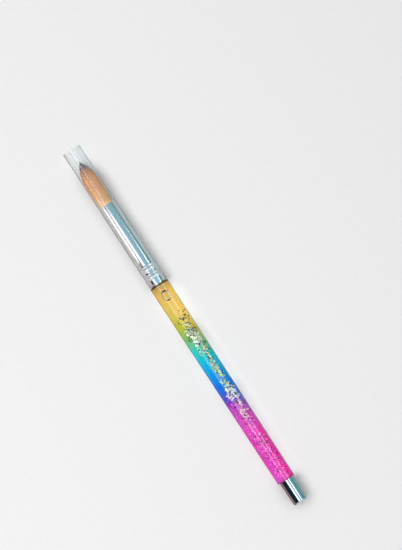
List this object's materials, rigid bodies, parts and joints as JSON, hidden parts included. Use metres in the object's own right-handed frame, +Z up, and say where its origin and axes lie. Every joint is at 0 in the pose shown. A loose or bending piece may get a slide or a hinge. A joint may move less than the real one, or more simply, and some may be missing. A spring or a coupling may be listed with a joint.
{
  "type": "acrylic nail brush",
  "caption": "Round pointed acrylic nail brush: crimped metal ferrule, clear rainbow handle filled with liquid glitter, metal tail cap, and a clear slide-off sleeve over the hair.",
  "frame": {"origin": "on the surface the brush lies on, below the middle of its whole length, sleeve included", "axes": "+X along the brush from the tail cap to the hair, +Z up, +Y to the left of the hair direction seen from above"},
  "size_m": [0.1864, 0.009, 0.009],
  "materials": {
    "handle_tube": "clear acrylic with a rainbow fade from orange-yellow through green and blue to magenta",
    "clear_acrylic": "clear, polished",
    "handle_liquid": "clear oily liquid",
    "pearl_flakes": "iridescent film",
    "gold_flakes": "metallic green-gold film",
    "dark_flakes": "dark metallic film",
    "pink_glitter": "fine metallic film",
    "chrome_plate": "polished",
    "root_glue": "cured resin",
    "tie_thread": "waxed thread",
    "hair_bundle": "fine amber hair with dark tips",
    "protective_sleeve": "clear thin plastic"
  },
  "bodies": {
    "brush": {"handle_tube": "handle_tube", "front_plug": "clear_acrylic", "tail_plug": "clear_acrylic", "handle_liquid": "handle_liquid", "pearl_flakes": "pearl_flakes", "gold_flakes": "gold_flakes", "dark_flakes": "dark_flakes", "pink_glitter": "pink_glitter", "ferrule": "chrome_plate", "root_glue": "root_glue", "tie_thread": "tie_thread", "hair_bundle": "hair_bundle", "tail_cap": "chrome_plate"},
    "sleeve": {"protective_sleeve": "protective_sleeve"}
  },
  "joints": [
    {"name": "sleeve_slide", "type": "slide", "parent": "brush", "child": "sleeve", "axis": [1, 0, 0], "range_m": [0, 0.07]}
  ]
}
